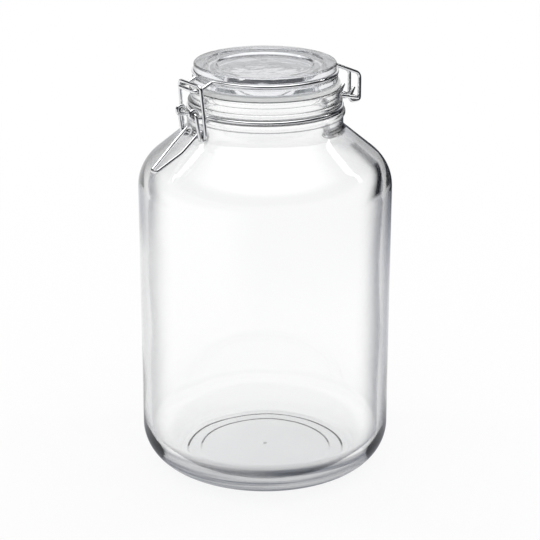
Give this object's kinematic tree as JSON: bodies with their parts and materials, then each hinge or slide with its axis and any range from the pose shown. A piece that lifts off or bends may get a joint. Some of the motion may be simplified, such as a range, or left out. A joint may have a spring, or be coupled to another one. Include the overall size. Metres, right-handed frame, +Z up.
{
  "type": "clamp lid storage jar",
  "caption": "Round glass storage jar with a hinged glass lid, sealing ring and a bent-wire clamp whose lever pulls a bail down over the lid's tongue.",
  "frame": {"origin": "on the jar's axis, on the surface that it stands on", "axes": "+Z up along the jar's axis, -Y towards the clasp, +Y towards the hinge, +X to the side"},
  "size_m": [0.1646, 0.1677, 0.2717],
  "materials": {
    "jar_glass": "clear polished",
    "lid_glass": "clear polished",
    "gasket_rubber": "satin, milky clear",
    "wire_steel": "polished drawn wire"
  },
  "bodies": {
    "jar": {"jar_body": "jar_glass", "neck_wire": "wire_steel"},
    "lid": {"jar_lid": "lid_glass", "lid_gasket": "gasket_rubber", "lid_wire": "wire_steel"},
    "lever": {"clasp_lever": "wire_steel"},
    "bail": {"clasp_bail": "wire_steel"}
  },
  "joints": [
    {"name": "lid_hinge", "type": "hinge", "parent": "jar", "child": "lid", "pos_m": [0, 0.0682, 0.2398], "axis": [-1, 0, 0], "range_deg": [0, 190]},
    {"name": "lever_turn", "type": "hinge", "parent": "jar", "child": "lever", "pos_m": [0, -0.0591, 0.2469], "axis": [-1, 0, 0], "range_deg": [0, 110]},
    {"name": "bail_swing", "type": "hinge", "parent": "lever", "child": "bail", "pos_m": [0, -0.05385, 0.2321], "axis": [1, 0, 0], "range_deg": [0, 110]}
  ],
  "couplings": [
    {"joint": "bail_swing", "follows": "lever_turn", "ratio": 1}
  ]
}
